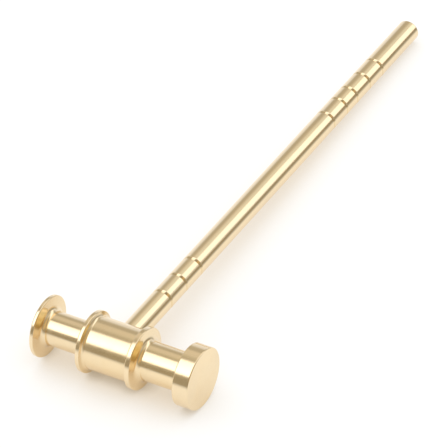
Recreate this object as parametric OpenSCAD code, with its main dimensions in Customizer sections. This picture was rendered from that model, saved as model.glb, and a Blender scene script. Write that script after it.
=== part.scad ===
// Solid brass carving mallet, lying on a bench: a spool-shaped turned head with
// a thick flat striking disc and a thin flared striking disc, and a slim grooved
// rod handle that screws on to a hidden steel stud in the side of the head.
// Millimetres. +X runs along the head towards the thick disc, +Y runs along the
// handle towards its free end, +Z is up. The bench is the plane z = 0, and the
// origin is the bottom centre of the bounding box.

/* [Head flanges] */
// Diameter of the bar the head is turned from: both discs and both collars
flange_d = 25.4; // [24:0.1:30]
// Thickness of the thick flat striking disc
thick_disc_t = 6.95; // [4:0.05:12]
// Thickness of the thin striking disc at its rim
thin_disc_t = 1.6; // [1.2:0.05:3]
// Length of the flare on the back of the thin disc, from its rim to the neck
disc_flare = 2.15; // [1.8:0.05:2.6]
// Crown of the thin disc's striking face
face_crown = 0.6; // [0.2:0.1:1.5]
// Width of the collar on the thin disc's side
thin_collar_w = 1.8; // [1.4:0.1:3]
// Width of the collar on the thick disc's side
thick_collar_w = 2.25; // [1.4:0.05:3]
// Length of the flare from the thin-side collar to the barrel
barrel_flare = 1.25; // [1.25:0.05:1.6]
// Length of the flare from the thick-side collar to its neck
neck_flare = 2.4; // [2.2:0.05:2.8]
// Radius of the rounded edges of the discs and the collars
edge_r = 0.4; // [0.2:0.05:0.5]

/* [Head barrel and necks] */
// Diameter of the barrel between the collars
barrel_d = 21.5; // [19:0.1:21.6]
// Length of the barrel between the collars
barrel_len = 20.1; // [16:0.1:26]
// Distance from the handle axis to the middle of the barrel
barrel_shift = 0.3; // [0:0.1:1.5]
// Diameter of the neck behind the thick disc
thick_neck_d = 16; // [13:0.05:17]
// Length of the neck behind the thick disc
thick_neck_len = 18.9; // [12:0.05:26]
// Diameter of the neck behind the thin disc
thin_neck_d = 14; // [11:0.05:16]
// Length from the thin disc's rim to the nearest collar
thin_neck_len = 18.9; // [12:0.05:26]

/* [Handle] */
// Diameter of the handle rod
handle_d = 9.525; // [9.5:0.005:11]
// Distance from the head axis to the free end of the handle
handle_reach = 245.9; // [240:0.1:300]
// Depth of the flat seat of the handle, as a distance from the head axis
seat_y = 7.5; // [6.5:0.1:8]
// Chamfer at the free end of the handle
end_chamfer = 0.5; // [0.2:0.1:1]

/* [Handle grooves] */
// Width of a groove at the surface
groove_w = 1.5; // [0.8:0.1:3]
// Depth of a groove
groove_depth = 0.6; // [0.2:0.05:0.8]
// Distance from the head axis to the first groove of the near group
near_first = 34.65; // [30:0.05:40]
// Pitch of the three grooves of the near group
near_pitch = 11.85; // [8:0.05:14]
// Distance from the head axis to the first groove of the far group
far_first = 169.9; // [150:0.05:180]
// Regular pitch of the five grooves of the far group
far_pitch = 11.35; // [8:0.05:13]
// Shorter gap between the second and third grooves of the far group
far_short_gap = 9.2; // [7:0.05:12]

/* [Hidden joint] */
// Major diameter of the stud thread
thread_d = 6; // [5:0.5:6]
// Pitch of the stud thread
thread_pitch = 1; // [0.8:0.1:1.2]
// Length of stud screwed into the head
stud_in_head = 12; // [8:1:12]
// Length of stud screwed into the handle
stud_in_handle = 12; // [8:1:16]
// Radial clearance between the stud and its tapped holes
thread_gap = 0.05; // [0.02:0.01:0.1]
// Radial clearance between the handle and its socket
socket_gap = 0.04; // [0.02:0.01:0.1]

/* [Hidden] */
$fn = 96;

flange_r = flange_d / 2;
barrel_r = barrel_d / 2;
thin_neck_r = thin_neck_d / 2;
thick_neck_r = thick_neck_d / 2;
handle_r = handle_d / 2;

// Small details of the turned outlines
thin_neck_hollow_r = 2.8;
barrel_hollow_r = 1.7;
thick_neck_hollow_r = 3;
flare_end_angle = 20;  // slope at which a flare's hollow meets the cylinder
neck_fillet_r = 0.35;
barrel_fillet_r = 0.25;
seat_chamfer = 0.4;

// Faces of the collars and discs along the head axis, measured from the handle axis
thin_collar_barrel_x = barrel_shift - barrel_len / 2;
thin_collar_neck_x = thin_collar_barrel_x - thin_collar_w;
thick_collar_barrel_x = barrel_shift + barrel_len / 2;
thick_collar_neck_x = thick_collar_barrel_x + thick_collar_w;
thin_disc_back_x = thin_collar_neck_x - thin_neck_len;
thin_disc_front_x = thin_disc_back_x - thin_disc_t;
thick_disc_back_x = thick_collar_neck_x + thick_neck_len;
thick_disc_front_x = thick_disc_back_x + thick_disc_t;

// Centres of the grooves along the handle
far_third = far_first + far_pitch + far_short_gap;
groove_places = concat(
    [for (i = [0:2]) near_first + i * near_pitch],
    [for (i = [0:1]) far_first + i * far_pitch],
    [for (i = [0:2]) far_third + i * far_pitch]);

// Thread and stud
thread_crest_r = thread_d / 2;
thread_root_r = thread_crest_r - 0.54 * thread_pitch;
stud_lo = seat_y - stud_in_head;
stud_hi = seat_y + stud_in_handle;
hole_extra = 1;   // tapped depth beyond each end of the stud
drill_tip = 1.5;  // length of a hole's conical drill point
overcut = 1;      // how far a hole's cutter runs past its mouth

// Tilt that lets the head's flanges and the handle's free end share one bench
chamfer_y = handle_reach - end_chamfer;
tilt = asin(flange_r / norm([chamfer_y, handle_r])) - atan(handle_r / chamfer_y);

// Bounding box at rest, and the shift that puts the origin at its bottom centre
x_lo = thin_disc_front_x - face_crown;
x_hi = thick_disc_front_x;
y_lo = -flange_r;
y_hi = max(handle_reach * cos(tilt) + (handle_r - end_chamfer) * sin(tilt),
           chamfer_y * cos(tilt) + handle_r * sin(tilt));
rest_shift = [-(x_lo + x_hi) / 2, -(y_lo + y_hi) / 2, flange_r];

// Every outline below is a list of [radius, length along the axis]

// Points of an arc between two angles
function arc(centre_r, centre_x, r, from, to, steps = 5) =
    [for (i = [0:steps])
        let (angle = from + (to - from) * i / steps)
        [centre_r + r * cos(angle), centre_x + r * sin(angle)]];

// Rounded rim of a flange, from its low-x face to its high-x face
function rim(lo, hi) = concat(
    arc(flange_r - edge_r, lo + edge_r, edge_r, -90, 0),
    arc(flange_r - edge_r, hi - edge_r, edge_r, 0, 90));

// Corner where a cylinder of radius r runs up to a flange face at x
function fillet(r, x, fillet_r) = arc(r + fillet_r, x - fillet_r, fillet_r, 180, 90, 3);

// Flare from a flange's edge at lo: a nearly flat face that runs tangent into a
// hollow, which meets the cylinder of radius r at hi
function flare(r, lo, hi, hollow_r) =
    let (centre_r = r + hollow_r * cos(flare_end_angle),
         centre_x = hi + hollow_r * sin(flare_end_angle),
         to_edge = [flange_r - edge_r - centre_r, lo - centre_x],
         tangent = 360 + atan2(to_edge[1], to_edge[0]) - acos(hollow_r / norm(to_edge)))
    arc(centre_r, centre_x, hollow_r, tangent, 180 + flare_end_angle, 6);

// Crowned face: from the axis out to radius r at x, rising by height towards -x
function crown(x, r, height, steps = 10) =
    let (sphere_r = (r * r + height * height) / (2 * height))
    [for (i = [0:steps])
        let (p = r * i / steps)
        [p, x + (sphere_r - height) - sqrt(sphere_r * sphere_r - p * p)]];

// Groove centred at y: a steep wall on the head's side and a long hollow one on
// the free end's side, getting shallower towards its lip
function groove(y, steps = 4) = concat(
    [[handle_r, y - groove_w / 2]],
    [for (i = [0:steps])
        let (t = 1 - i / steps)
        [handle_r - groove_depth * t * (0.85 + 0.15 * t),
         y + groove_w / 2 - 0.84 * groove_w * t]]);

// Thread from lo to hi as plain rings with a narrow flat crest, grown by gap.
// Each corner of a ring is [radius, fraction of the pitch].
function rings(lo, hi, gap = 0) =
    let (root = thread_root_r + gap,
         crest = thread_crest_r + gap,
         count = floor((hi - lo) / thread_pitch))
    [for (i = [0:count - 1],
          corner = [[root, 0.06], [crest, 0.44], [crest, 0.56], [root, 0.94]])
        [corner[0], lo + thread_pitch * (i + corner[1])]];

// Put a part drawn about the crossing of the two axes into its resting place
module at_rest() translate(rest_shift) rotate([-tilt, 0, 0]) children();

// Turn an outline about the handle axis, +Y
module turned_y(points) rotate([-90, 0, 0]) rotate_extrude() polygon(points);

// Turn an outline about the head axis, +X
module turned_x(points) rotate([0, 90, 0]) rotate_extrude() polygon(points);

// Space taken by a blind tapped hole from y = lo to y = hi, with a drill point at
// its blind end and an overcut at its mouth
module tapped_hole(lo, hi, tip_at_low) {
    r = thread_root_r + thread_gap;
    low_end = tip_at_low
        ? [[0, lo - drill_tip], [r, lo]]
        : [[0, lo - overcut], [r, lo - overcut]];
    high_end = tip_at_low
        ? [[r, hi + overcut], [0, hi + overcut]]
        : [[r, hi], [0, hi + drill_tip]];
    turned_y(concat(low_end, rings(lo, hi, thread_gap), high_end));
}

// Head outline from the thin disc's crown to the thick disc's flat face
head_outline = concat(
    crown(thin_disc_front_x, flange_r - edge_r, face_crown),
    rim(thin_disc_front_x, thin_disc_back_x),
    flare(thin_neck_r, thin_disc_back_x, thin_disc_back_x + disc_flare, thin_neck_hollow_r),
    fillet(thin_neck_r, thin_collar_neck_x, neck_fillet_r),
    rim(thin_collar_neck_x, thin_collar_barrel_x),
    flare(barrel_r, thin_collar_barrel_x, thin_collar_barrel_x + barrel_flare, barrel_hollow_r),
    fillet(barrel_r, thick_collar_barrel_x, barrel_fillet_r),
    rim(thick_collar_barrel_x, thick_collar_neck_x),
    flare(thick_neck_r, thick_collar_neck_x, thick_collar_neck_x + neck_flare,
          thick_neck_hollow_r),
    fillet(thick_neck_r, thick_disc_back_x, neck_fillet_r),
    rim(thick_disc_back_x, thick_disc_front_x),
    [[0, thick_disc_front_x]]);

// One-piece turned head with a flat-bottomed socket and a tapped hole in its side
module head() color("#d8b25a") at_rest() difference() {
    turned_x(head_outline);
    rotate([-90, 0, 0]) translate([0, 0, seat_y])
        cylinder(r = handle_r + socket_gap, h = barrel_r);
    tapped_hole(stud_lo - hole_extra, seat_y, tip_at_low = true);
}

// Rod handle with its grooves and a tapped hole in its seated end
module handle() color("#dcb860") at_rest() difference() {
    turned_y(concat(
        [[0, seat_y], [handle_r - seat_chamfer, seat_y], [handle_r, seat_y + seat_chamfer]],
        [for (y = groove_places) each groove(y)],
        [[handle_r, chamfer_y], [handle_r - end_chamfer, handle_reach], [0, handle_reach]]));
    tapped_hole(seat_y, stud_hi + hole_extra, tip_at_low = false);
}

// Steel stud, threaded from end to end, that joins the handle to the head
module joining_stud() color("#9a9da1") at_rest()
    turned_y(concat(
        [[0, stud_lo], [thread_root_r, stud_lo]],
        rings(stud_lo, stud_hi),
        [[thread_root_r, stud_hi], [0, stud_hi]]));

head();
handle();
joining_stud();
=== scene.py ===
"""A turned brass carving mallet. The head lies along X with its thin disc at -X and its thick disc
at +X. The handle leaves the head towards +Y and slopes down, so that the head's flanges and the
handle's free end both touch the floor at z = 0.

Sizes are in millimetres unless a comment says metres. A mesh's lengths become metres in lathe().
Places come from the frame's own boxes."""
import math
import bmesh
import bpy
from mathutils import Matrix, Vector


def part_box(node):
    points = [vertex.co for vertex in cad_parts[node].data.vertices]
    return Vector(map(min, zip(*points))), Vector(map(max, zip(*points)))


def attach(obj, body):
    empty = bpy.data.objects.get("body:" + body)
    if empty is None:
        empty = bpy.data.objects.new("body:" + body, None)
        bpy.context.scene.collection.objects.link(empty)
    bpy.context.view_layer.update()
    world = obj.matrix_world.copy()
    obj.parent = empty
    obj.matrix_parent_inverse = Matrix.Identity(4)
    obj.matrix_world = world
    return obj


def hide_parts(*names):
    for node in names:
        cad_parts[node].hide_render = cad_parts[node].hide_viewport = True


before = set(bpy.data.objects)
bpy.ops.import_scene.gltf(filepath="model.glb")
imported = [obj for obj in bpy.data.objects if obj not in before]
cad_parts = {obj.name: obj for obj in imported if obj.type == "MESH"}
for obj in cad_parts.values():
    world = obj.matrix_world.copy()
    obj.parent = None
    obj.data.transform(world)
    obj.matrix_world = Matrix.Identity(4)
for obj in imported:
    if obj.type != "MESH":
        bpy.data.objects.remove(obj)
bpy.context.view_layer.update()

MM = 0.001                                   # one millimetre in metres
head_lo, head_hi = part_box("head")
rod_lo, rod_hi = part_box("handle")

# ------------------------------------------------------------------ sizes
FLANGE_R = 12.7                              # both discs and both collars
THIN_NECK_R, BARREL_R, THICK_NECK_R = 7.0, 10.75, 8.0
NECK = 18.9                                  # from a disc to its collar
EDGE, CROWN = 0.4, 0.6                       # flange edge round, bulge of the thin disc's face

ROD_R = 4.7625
REACH, SEAT = 245.9, 7.5                     # handle's free end and seat, from the head axis
END_ROUND, SEAT_CHAMFER = 0.5, 0.4
GROOVES = [34.65 + 11.85 * i for i in range(3)] + [169.9, 181.25, 190.45, 201.8, 213.15]
GROOVE_W, GROOVE_D = 1.5, 0.6

STUD_R, THREAD_DEPTH, THREAD_GAP = 3.0, 0.54, 0.05
HOLE_MINOR = STUD_R - THREAD_DEPTH + THREAD_GAP
HOLE_MAJOR = STUD_R + THREAD_GAP
TURNS, PITCH = 13, 1.0
HOLE_DEPTH = TURNS * PITCH
DRILL_POINT = 1.5                            # cone at the bottom of each tapped hole
SOCKET_GAP, CUT_PAST = 0.04, 2.0             # round the handle, and past the head's surface

# Where the two axes cross, in metres
CROSS = Vector(((rod_lo.x + rod_hi.x) / 2,
                (head_lo.y + head_hi.y) / 2,
                (head_lo.z + head_hi.z) / 2))
HEAD_AXIS = Vector((1, 0, 0))
TILT = (math.asin(FLANGE_R / math.hypot(REACH - END_ROUND, ROD_R))
        - math.atan(ROD_R / (REACH - END_ROUND)))
ROD_AXIS = Vector((0.0, math.cos(TILT), -math.sin(TILT)))
ROD_UP = Vector((0.0, math.sin(TILT), math.cos(TILT)))

# Flanges along the head as (start, end), from the crossing
thin_face = (head_lo.x - CROSS.x) / MM + CROWN
thick_face = (head_hi.x - CROSS.x) / MM
THIN_DISC = (thin_face, thin_face + 1.6)
THICK_DISC = (thick_face - 6.95, thick_face)
THIN_COLLAR = (THIN_DISC[1] + NECK, THIN_DISC[1] + NECK + 1.8)
THICK_COLLAR = (THICK_DISC[0] - NECK - 2.25, THICK_DISC[0] - NECK)

# flange, radius of the cylinder after it, flare length, flare radius, far corner radius, next flange
HEAD_PARTS = (
    (THIN_DISC, THIN_NECK_R, 2.15, 2.8, 0.35, THIN_COLLAR),
    (THIN_COLLAR, BARREL_R, 1.25, 1.7, 0.25, THICK_COLLAR),
    (THICK_COLLAR, THICK_NECK_R, 2.4, 3.0, 0.35, THICK_DISC),
)


# ------------------------------------------------------------------ outlines, (radius, length)
def arc(centre_r, centre_x, radius, start, end, steps):
    """Angles in degrees; 0 points away from the axis and 90 along it."""
    points = []
    for i in range(steps + 1):
        angle = math.radians(start + (end - start) * i / steps)
        points.append((centre_r + radius * math.cos(angle), centre_x + radius * math.sin(angle)))
    return points


def rim(start, end):
    """A flange's outer surface with both edges rounded."""
    return (arc(FLANGE_R - EDGE, start + EDGE, EDGE, -90, 0, 8)
            + arc(FLANGE_R - EDGE, end - EDGE, EDGE, 0, 90, 8))


def crown(x, steps=18):
    """The thin disc's domed face, from its middle out to the rim at x."""
    edge_r = FLANGE_R - EDGE
    sphere = (edge_r * edge_r + CROWN * CROWN) / (2 * CROWN)
    return [(edge_r * i / steps,
             x + (sphere - CROWN) - math.sqrt(sphere * sphere - (edge_r * i / steps) ** 2))
            for i in range(steps + 1)]


def fillet(cylinder_r, x, radius):
    """The small inside corner where a cylinder ends against a face at x."""
    return arc(cylinder_r + radius, x - radius, radius, 90, 180, 5)[::-1]


def flare(cylinder_r, start, end, radius, slope=20.0):
    """From a flange's edge at start down a nearly flat face, then round a hollow that meets the
    cylinder at end at a slope in degrees."""
    centre_r = cylinder_r + radius * math.cos(math.radians(slope))
    centre_x = end + radius * math.sin(math.radians(slope))
    out = FLANGE_R - EDGE - centre_r
    back = start - centre_x
    tangent = (360 + math.degrees(math.atan2(back, out))
               - math.degrees(math.acos(radius / math.hypot(out, back))))
    return arc(centre_r, centre_x, radius, tangent, 180 + slope, 14)


def groove(middle):
    """Steep wall on the head's side, long hollow wall on the far side, slightly broken lips."""
    start = middle - GROOVE_W / 2
    bottom = middle - 0.34 * GROOVE_W
    end = middle + GROOVE_W / 2
    points = [(ROD_R, start - 0.05), (ROD_R - 0.025, start), (ROD_R - GROOVE_D + 0.05, bottom - 0.03)]
    for i in range(8):
        t = 1 - i / 8
        points.append((ROD_R - GROOVE_D * t * (0.85 + 0.15 * t), end - 0.84 * GROOVE_W * t))
    return points + [(ROD_R - 0.006, end - 0.02), (ROD_R, end + 0.03)]


def thread(start):
    """Closed rings in a tapped hole, one per turn."""
    profile = ((HOLE_MINOR, 0.06), (HOLE_MAJOR, 0.44), (HOLE_MAJOR, 0.56), (HOLE_MINOR, 0.94))
    return [(radius, start + PITCH * (turn + part)) for turn in range(TURNS)
            for radius, part in profile]


def refine(points, near=0.03):
    """Drops repeats and adds a loop beside every corner, so flats stay flat when smooth shaded."""
    clean = [points[0]]
    for point in points[1:]:
        if math.dist(point, clean[-1]) > 1e-5:
            clean.append(point)
    out = [clean[0]]
    for a, b in zip(clean, clean[1:]):
        length = math.dist(a, b)
        if length > 0.5:
            for t in (near / length, 1 - near / length):
                out.append((a[0] + (b[0] - a[0]) * t, a[1] + (b[1] - a[1]) * t))
        out.append(b)
    return out


def long_steps(points, step):
    """Splits long runs, so that no face is a sliver across the whole piece."""
    out = [points[0]]
    for a, b in zip(points, points[1:]):
        n = max(1, int(math.dist(a, b) / step))
        out += [(a[0] + (b[0] - a[0]) * i / n, a[1] + (b[1] - a[1]) * i / n)
                for i in range(1, n + 1)]
    return out


# ------------------------------------------------------------------ outline to mesh
def lathe(name, outline, segments, axis, up):
    """Turns an outline about an axis through the crossing. It starts and ends on the axis."""
    side = axis.cross(up).normalized()
    verts, faces, loops = [], [], []
    for radius, length in outline:
        centre = CROSS + axis * (length * MM)
        if radius < 1e-6:
            loops.append([len(verts)])
            verts.append(tuple(centre))
            continue
        loops.append(list(range(len(verts), len(verts) + segments)))
        for k in range(segments):
            t = 2 * math.pi * k / segments
            verts.append(tuple(centre + (up * math.cos(t) + side * math.sin(t)) * (radius * MM)))
    for a, b in zip(loops, loops[1:]):
        for k in range(segments):
            k2 = (k + 1) % segments
            if len(a) == 1:
                faces.append((a[0], b[k2], b[k]))
            elif len(b) == 1:
                faces.append((a[k], a[k2], b[0]))
            else:
                faces.append((a[k], a[k2], b[k2], b[k]))
    mesh = bpy.data.meshes.new(name)
    mesh.from_pydata(verts, [], faces)
    mesh.validate()
    bm = bmesh.new()
    bm.from_mesh(mesh)
    bmesh.ops.recalc_face_normals(bm, faces=bm.faces)
    bm.to_mesh(mesh)
    bm.free()
    return add_object(name, mesh)


def add_object(name, data):
    obj = bpy.data.objects.new(name, data)
    bpy.context.scene.collection.objects.link(obj)
    return obj


def shade_smooth(obj, sharp_angle=32):
    mesh = obj.data
    mesh.polygons.foreach_set("use_smooth", [True] * len(mesh.polygons))
    mesh.set_sharp_from_angle(angle=math.radians(sharp_angle))
    mesh.update()


# ------------------------------------------------------------------ pieces
def cut_socket(head):
    """Cuts the handle's socket and the tapped hole below it from the head's side, as one tool."""
    bottom = SEAT - HOLE_DEPTH
    outline = ([(0.0, bottom - DRILL_POINT), (HOLE_MINOR, bottom)]
               + thread(bottom)
               + [(HOLE_MINOR, SEAT), (ROD_R + SOCKET_GAP, SEAT),
                  (ROD_R + SOCKET_GAP, FLANGE_R + CUT_PAST), (0.0, FLANGE_R + CUT_PAST)])
    cutter = lathe("cutter", outline, 192, ROD_AXIS, ROD_UP)
    cut = head.modifiers.new("socket", "BOOLEAN")
    cut.operation = "DIFFERENCE"
    cut.solver = "EXACT"
    cut.object = cutter
    depsgraph = bpy.context.evaluated_depsgraph_get()
    mesh = bpy.data.meshes.new_from_object(head.evaluated_get(depsgraph))
    head.modifiers.clear()
    head.data = mesh
    bpy.data.objects.remove(cutter)


def make_head():
    outline = crown(thin_face)
    for flange, radius, flare_length, flare_r, corner_r, next_flange in HEAD_PARTS:
        outline += rim(*flange)
        outline += flare(radius, flange[1], flange[1] + flare_length, flare_r)
        outline += fillet(radius, next_flange[0], corner_r)
    outline += rim(*THICK_DISC) + [(0.0, thick_face)]
    head = lathe("mallet_head", long_steps(refine(outline), 4.0), 320, HEAD_AXIS, Vector((0, 0, 1)))
    cut_socket(head)
    shade_smooth(head)
    return head


def make_handle():
    """The outline starts at the bottom of the tapped hole in the handle's seat end."""
    bottom = SEAT + HOLE_DEPTH
    outline = [(0.0, bottom + DRILL_POINT), (HOLE_MINOR, bottom)]
    outline += thread(SEAT)[::-1]
    outline += [(HOLE_MINOR, SEAT), (ROD_R - SEAT_CHAMFER, SEAT), (ROD_R, SEAT + SEAT_CHAMFER)]
    for middle in GROOVES:
        outline += groove(middle)
    outline += arc(ROD_R - END_ROUND, REACH - END_ROUND, END_ROUND, 0, 90, 8) + [(0.0, REACH)]
    handle = lathe("mallet_handle", long_steps(refine(outline), 6.0), 192, ROD_AXIS, ROD_UP)
    shade_smooth(handle)
    return handle


head = make_head()
handle = make_handle()
for piece, node, slot in ((head, "head", "head_brass"), (handle, "handle", "handle_brass")):
    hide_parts(node)
    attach(piece, "root")


# ------------------------------------------------------------------ node helpers
class Tree:
    """Builds nodes. Any input takes a value or another node's output."""

    def __init__(self, owner):
        owner.use_nodes = True
        self.tree = owner.node_tree
        self.tree.nodes.clear()

    def node(self, kind, inputs=None, **settings):
        node = self.tree.nodes.new("ShaderNode" + kind)
        for key, value in settings.items():
            setattr(node, key, value)
        for key, value in (inputs or {}).items():
            if isinstance(value, bpy.types.NodeSocket):
                self.tree.links.new(value, node.inputs[key])
            else:
                node.inputs[key].default_value = value
        return node

    def out(self, kind, inputs=None, **settings):
        return self.node(kind, inputs, **settings).outputs[0]

    def math(self, op, a, b, clamp=False):
        return self.out("Math", {0: a, 1: b, 2: 0.0}, operation=op, use_clamp=clamp)

    def add(self, a, b):
        return self.math("ADD", a, b)

    def sub(self, a, b):
        return self.math("SUBTRACT", a, b)

    def times(self, first, *others):
        for other in others:
            first = self.math("MULTIPLY", first, other)
        return first

    def vec(self, op, a, b=(0, 0, 0), **more):
        node = self.node("VectorMath", {0: a, 1: b, **more}, operation=op)
        return node.outputs["Value" if op in ("DOT_PRODUCT", "LENGTH") else 0]

    def split(self, vector):
        return self.node("SeparateXYZ", {0: vector}).outputs

    def step(self, value, x0, x1, y0=0.0, y1=1.0, kind="SMOOTHSTEP"):
        """Smooth change from y0 at x0 to y1 at x1, held beyond both."""
        return self.out("MapRange", {0: value, 1: x0, 2: x1, 3: y0, 4: y1}, interpolation_type=kind)

    def line(self, value, x0, x1, y0=0.0, y1=1.0):
        """Straight change from y0 at x0 to y1 at x1, held beyond both."""
        return self.step(value, x0, x1, y0, y1, "LINEAR")

    def mix(self, amount, a, b):
        a, b = ((*c, 1) if isinstance(c, tuple) else c for c in (a, b))
        return self.node("Mix", {0: amount, 6: a, 7: b}, data_type="RGBA").outputs[2]

    def mix_shader(self, amount, a, b):
        return self.out("MixShader", {0: amount, 1: a, 2: b})

    def noise(self, vector, scale, detail=2.0, rough=0.5):
        return self.node("TexNoise", {"Vector": vector, "Scale": scale, "Detail": detail,
                                      "Roughness": rough}).outputs["Fac"]

    def bump(self, height, strength, metres):
        return self.out("Bump", {"Height": height, "Strength": strength, "Distance": metres})

    def input(self, kind, output):
        return self.node(kind).outputs[output]


def new_material(name):
    material = bpy.data.materials.new(name)
    return material, Tree(material)


# ------------------------------------------------------------------ brass
TINT = (0.885, 0.72, 0.475)


def tinted(*gains):
    return tuple(c * gain for c, gain in zip(TINT, gains))


def brass(name, axis, wear_radius, painted_shade_radius, rough):
    """Turned brass: rings that follow the lathe axis, faint handling haze, bright rubbed edges at
    wear_radius, and painted shade, a darker tone in the recesses under the shade radius argument."""
    material, t = new_material(name)
    place = t.vec("SUBTRACT", t.input("TexCoord", "Object"), CROSS)
    place = t.vec("SCALE", place, Scale=1 / MM)
    length = t.vec("DOT_PRODUCT", place, axis)
    radial = t.vec("SUBTRACT", place, t.vec("SCALE", axis, Scale=length))
    radius = t.vec("LENGTH", radial)
    around = t.vec("NORMALIZE", t.vec("CROSS_PRODUCT", axis, radial))

    # Rings: noise over length and radius, with a very slow drift round the piece
    drift = t.times(t.noise(place, scale=0.09, detail=1.0), 0.35)
    ring_place = t.out("CombineXYZ", {0: length, 1: radius, 2: drift})
    fine = t.noise(ring_place, scale=9.0, rough=0.6)
    broad = t.noise(ring_place, scale=1.3)
    haze = t.noise(place, scale=0.16, detail=4.0, rough=0.6)
    blotch = t.noise(place, scale=0.05)
    scratch = t.vec("MULTIPLY", place, (0.55, 0.55, 2.6))
    scratch = t.step(t.noise(scratch, scale=3.1, detail=3.0, rough=0.75), x0=0.66, x1=0.74)

    # Colour: blotches, haze, fine rings, rubbed edges, then the painted shade in the grooves
    wear = t.times(t.step(radius, x0=wear_radius - 0.28, x1=wear_radius - 0.05),
                   t.line(haze, x0=0.3, x1=0.7, y0=0.35, y1=0.8))
    # Painted shade: a darker, warmer tone in the recesses under the shade radius, such as the
    # handle's grooves
    painted_groove_shade = t.step(radius, x0=painted_shade_radius, x1=painted_shade_radius - 0.22)
    color = t.mix(t.line(blotch, x0=0.35, x1=0.65),
                  tinted(0.97, 0.97, 0.97), tinted(1.015, 1.0, 0.96))
    for mask, amount, layer in (
            (t.step(haze, x0=0.45, x1=0.75), 0.16, tinted(0.93, 0.86, 0.74)),
            (t.line(fine, x0=0.3, x1=0.7), 0.05, tinted(0.85, 0.78, 0.66)),
            (wear, 0.35, tinted(1.04, 1.06, 1.15)),
            (painted_groove_shade, 0.3, tinted(0.8, 0.7, 0.5))):
        color = t.mix(t.times(mask, amount), color, layer)

    roughness = t.line(fine, x0=0.25, x1=0.75, y0=rough * 0.85, y1=rough * 1.18)
    roughness = t.add(roughness, t.times(t.step(haze, x0=0.4, x1=0.8), 0.05))
    roughness = t.add(roughness, t.times(scratch, 0.03))
    roughness = t.sub(roughness, t.times(wear, 0.03))

    height = t.add(t.times(fine, 0.5), t.times(broad, 1.6))
    height = t.sub(height, t.times(scratch, 0.35))
    surface = t.out("BsdfPrincipled", {
        "Base Color": color, "Roughness": roughness, "Metallic": 1.0, "Anisotropic": 0.55,
        "Tangent": around, "Normal": t.bump(height, strength=1.0, metres=0.0000022)})
    t.node("OutputMaterial", {0: surface})
    return material


head.data.materials.clear()
head.data.materials.append(brass("turned_brass_head", HEAD_AXIS, wear_radius=FLANGE_R,
                                 painted_shade_radius=0.0, rough=0.13))
handle.data.materials.clear()
handle.data.materials.append(brass("turned_brass_handle", ROD_AXIS, wear_radius=ROD_R,
                                   painted_shade_radius=ROD_R - 0.12, rough=0.12))


# ------------------------------------------------------------------ steel stud
def steel(name):
    material, t = new_material(name)
    place = t.vec("SCALE", t.input("TexCoord", "Object"), Scale=1 / MM)
    mottle = t.noise(place, scale=1.7, detail=4.0, rough=0.6)
    grain = t.noise(t.vec("MULTIPLY", place, (6, 0.6, 6)), scale=2.0, rough=0.6)
    surface = t.out("BsdfPrincipled", {
        "Base Color": t.mix(mottle, (0.42, 0.43, 0.44), (0.56, 0.57, 0.58)),
        "Metallic": 1.0,
        "Roughness": t.line(grain, x0=0.3, x1=0.7, y0=0.26, y1=0.42),
        "Normal": t.bump(grain, strength=0.6, metres=0.00001)})
    t.node("OutputMaterial", {0: surface})
    return material


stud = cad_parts["joining_stud"]
stud_steel = steel("cut_steel_stud")
if stud.material_slots:
    for stud_slot in stud.material_slots:
        stud_slot.material = stud_steel
else:
    stud.data.materials.append(stud_steel)


# ------------------------------------------------------------------ floor
FLOOR_HALF, FLOOR_DROP = 6.0, 0.00005        # metres


def floor_white():
    """White sheet, part lit and part glowing. Distances here are in metres."""
    material, t = new_material("floor_white")
    light = t.node("LightPath").outputs
    incoming = t.split(t.input("NewGeometry", "Incoming"))
    spot = t.split(t.input("NewGeometry", "Position"))

    def occlusion(distance):
        return t.node("AmbientOcclusion", {"Distance": distance}, samples=6).outputs["AO"]

    # Painted reflection: to glossy rays only, the sheet turns dark at low angles towards -Y and +X,
    # standing in for the dark room beyond it as seen in the metal
    rise = t.add(t.times(incoming[1], math.sin(TILT)), incoming[2])
    front = t.times(t.step(rise, x0=0.22, x1=-0.06), t.step(incoming[1], x0=-0.1, x1=0.3))
    right = t.times(t.step(rise, x0=0.32, x1=-0.04), t.step(incoming[0], x0=0.1, x1=-0.3))
    room = t.times(t.math("MAXIMUM", front, right), 0.76, light["Is Glossy Ray"])
    twice = t.math("GREATER_THAN", light["Glossy Depth"], 1.5)
    room = t.times(room, t.line(twice, x0=0, x1=1, y0=1.0, y1=0.55))

    # Warm shade round the brass, thinner to the +X side and towards the handle's free end
    calm_x = t.step(spot[0], x0=0.020, x1=0.040)
    calm = t.math("MAXIMUM", t.times(calm_x, 0.5), t.step(spot[1], x0=0.0, x1=0.12, y0=0.0, y1=0.55))
    clear = t.step(occlusion(0.045), x0=0.25, x1=1.0)
    clear = t.add(clear, t.times(t.sub(1.0, clear), calm))
    color = t.mix(clear, (0.88, 0.755, 0.59), (1.0, 0.998, 0.99))

    # Painted contact shadow: a dark line where the brass meets the sheet, only towards -Y
    painted_contact_shadow = t.times(t.step(occlusion(0.006), x0=0.70, x1=0.15, y0=0.0, y1=0.9),
                      t.step(spot[1], x0=-0.05, x1=-0.09),
                      t.line(calm_x, x0=0, x1=1, y0=1.0, y1=0.4))
    color = t.mix(painted_contact_shadow, color, (0.42, 0.33, 0.21))

    sheet = t.out("AddShader", {
        0: t.out("BsdfDiffuse", {"Color": (0.40, 0.398, 0.394, 1)}),
        1: t.out("Emission", {"Color": color, "Strength": 0.58})})
    # Painted reflection of the dark room, shown in place of the sheet to glossy rays
    painted_room_reflection = t.out("Emission", {"Color": (0.10, 0.085, 0.055, 1)})
    t.node("OutputMaterial", {0: t.mix_shader(room, sheet, painted_room_reflection)})
    return material


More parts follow.
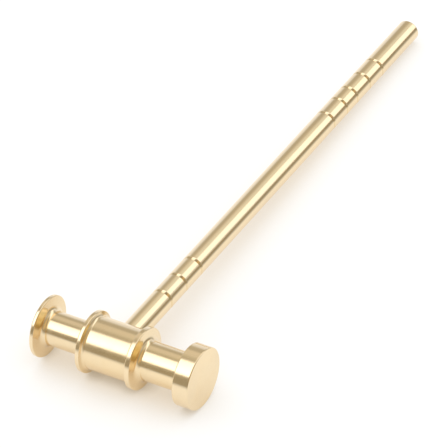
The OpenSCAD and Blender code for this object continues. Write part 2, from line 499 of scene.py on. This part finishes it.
floor_mesh = bpy.data.meshes.new("floor")
floor_mesh.from_pydata([(x * FLOOR_HALF, y * FLOOR_HALF, 0)
                        for x, y in ((-1, -1), (1, -1), (1, 1), (-1, 1))], [], [(0, 1, 2, 3)])
floor = add_object("floor", floor_mesh)
floor.location.z = -FLOOR_DROP
floor_mesh.materials.append(floor_white())

# ------------------------------------------------------------------ world
STRIP_COS, STRIP_SIN = 0.8305, 0.557         # turn of the strip light about the vertical
ROOM_FRONT = (0.39, 0.35, 0.265)
ROOM_DARK = (0.54, 0.505, 0.43)
ROOM_TAN = (0.77, 0.715, 0.62)

# What brass sees in brass: (distance across from the strip, colour)
BRASS_END = 6.0
BRASS_IN_BRASS = (
    (0.40, (0.90, 0.95, 0.88)), (0.62, (1.20, 1.21, 1.08)), (0.80, (0.95, 0.88, 0.62)),
    (0.96, (0.88, 0.79, 0.51)), (1.30, (1.05, 0.97, 0.67)), (1.80, (0.89, 0.82, 0.54)),
    (2.20, (0.71, 0.62, 0.37)), (2.80, (0.58, 0.49, 0.26)), (3.60, (0.50, 0.42, 0.22)),
    (BRASS_END, (0.52, 0.43, 0.26)))


def brass_ramp(t, across):
    ramp = t.node("ValToRGB", {0: t.math("DIVIDE", across, BRASS_END, clamp=True)})
    elements = ramp.color_ramp.elements
    while len(elements) < len(BRASS_IN_BRASS):
        elements.new(0.5)
    for element, (distance, color) in zip(elements, BRASS_IN_BRASS):
        element.position = distance / BRASS_END
        element.color = (*color, 1)
    return ramp.outputs[0]


def make_world():
    """White to the camera, near white to diffuse light, and a room with a strip light overhead
    to the metal."""
    world = bpy.data.worlds.new("studio")
    bpy.context.scene.world = world
    t = Tree(world)
    light = t.node("LightPath").outputs
    twice = t.math("GREATER_THAN", light["Glossy Depth"], 1.5)   # light that met the metal twice

    # Direction, turned square to the handle instead of the floor
    x, flat_y, flat_z = t.split(t.vec("NORMALIZE", t.input("TexCoord", "Generated")))
    cos_tilt, sin_tilt = math.cos(TILT), math.sin(TILT)
    y = t.sub(t.times(flat_y, cos_tilt), t.times(flat_z, sin_tilt))
    z = t.add(t.times(flat_y, sin_tilt), t.times(flat_z, cos_tilt))

    # The same direction on a ceiling one unit up, then across and along the strip light
    height = t.math("MAXIMUM", z, 0.02)
    ceiling_x = t.math("DIVIDE", x, height)
    ceiling_y = t.math("DIVIDE", y, height)
    across = t.sub(t.times(ceiling_x, STRIP_COS), t.times(ceiling_y, STRIP_SIN))
    along = t.add(t.times(ceiling_x, STRIP_SIN), t.times(ceiling_y, STRIP_COS))

    # The strip, wider towards its far end
    far_edge = t.line(along, x0=0.4, x1=3.8, y0=0.18, y1=0.53)
    strip = t.times(t.step(across, x0=-0.38, x1=-0.29),
                    t.step(t.sub(across, far_edge), x0=0.05, x1=-0.05),
                    t.step(along, x0=5.2, x1=3.2),
                    t.step(z, x0=0.05, x1=0.12))
    strip_color = t.mix(t.line(along, x0=-1.0, x1=0.0), (2.15, 2.15, 2.15), (1.44, 1.44, 1.48))

    # The +Y side: tan above, darker below, pale near the floor, two lips beside the strip
    back = t.mix(t.step(z, x0=0.60, x1=0.72), ROOM_DARK, ROOM_TAN)
    back = t.mix(t.step(z, x0=0.44, x1=0.20), back, (0.90, 0.92, 0.98))
    lip = t.times(t.step(across, x0=-0.62, x1=-0.5), t.step(z, x0=0.6, x1=0.75),
                  t.step(along, x0=0.6, x1=0.2, y0=0.0, y1=0.7))
    back = t.mix(lip, back, (0.62, 0.58, 0.47))
    pale_lip = t.times(t.step(across, x0=-0.82, x1=-0.58),
                       t.times(t.step(z, x0=0.55, x1=0.64), t.step(along, x0=0.3, x1=0.6)))
    back = t.mix(pale_lip, back, (0.84, 0.84, 0.78))

    # The whole room, from the walls to the strip
    room = t.mix(t.step(y, x0=-0.15, x1=0.3), ROOM_FRONT, back)
    low_right = t.times(t.step(x, x0=0.35, x1=0.6), t.step(z, x0=0.3, x1=0.2))
    room = t.mix(low_right, room, ROOM_FRONT)
    brass_side = t.times(twice, t.step(across, x0=-0.3, x1=0.3))
    room = t.mix(brass_side, room, brass_ramp(t, across))
    warm = t.times(t.step(across, x0=0.3, x1=0.75),
                   t.times(t.step(along, x0=-1.7, x1=-0.9), t.step(along, x0=0.9, x1=0.35)),
                   t.times(t.step(ceiling_x, x0=0.5, x1=0.75), t.sub(1.0, twice)))
    room = t.mix(warm, room, (0.70, 0.53, 0.30))
    room = t.mix(strip, room, strip_color)

    in_metal = t.times(light["Is Glossy Ray"], t.math("LESS_THAN", light["Diffuse Depth"], 0.5))
    shader = t.mix_shader(in_metal, t.out("Background", {0: (1, 0.997, 0.99, 1), 1: 1.0}),
                          t.out("Background", {0: room}))
    shader = t.mix_shader(light["Is Camera Ray"], shader,
                          t.out("Background", {0: (1, 1, 1, 1), 1: 1.0}))
    t.node("OutputWorld", {0: shader})


make_world()

# ------------------------------------------------------------------ key light, metres and watts
key = bpy.data.lights.new("soft_key", "AREA")
key.shape = "RECTANGLE"
key.size = 2.4
key.size_y = 2.4
key.energy = 9.5
key.color = (1.0, 0.99, 0.975)
key_object = add_object("soft_key", key)
key_object.location = (-0.3, 0.2, 1.3)
key_object.rotation_euler = (-key_object.location).to_track_quat("-Z", "Y").to_euler()
key_object.visible_glossy = False

# ------------------------------------------------------------------ camera
# Place from the crossing (mm) and axes, all given with the handle level and then tilted with it
CAMERA_PLACE = Vector((618.793988, -971.678063, 932.954520))
CAMERA_AXES = (Vector((0.8710862, 0.49061446, -0.0225006)),         # right
               Vector((-0.28112998, 0.53566453, 0.79625966)),       # up
               Vector((0.40270927, -0.68728521, 0.60453642)))       # back

camera = bpy.data.cameras.new("camera")
camera_object = add_object("camera", camera)
tilt_turn = Matrix.Rotation(-TILT, 3, "X")
camera_turn = Matrix([tilt_turn @ axis for axis in CAMERA_AXES]).transposed()
camera_place = CROSS + tilt_turn @ CAMERA_PLACE * MM
camera_object.matrix_world = Matrix.Translation(camera_place) @ camera_turn.to_4x4()
camera.sensor_width = 36.0
camera.lens = 308.609598
camera.clip_start = 0.05
camera.clip_end = 40.0

scene = bpy.context.scene
scene.camera = camera_object
scene.view_settings.view_transform = "Standard"
scene.view_settings.look = "None"
scene.view_settings.exposure = 0.0
scene.view_settings.gamma = 1.0
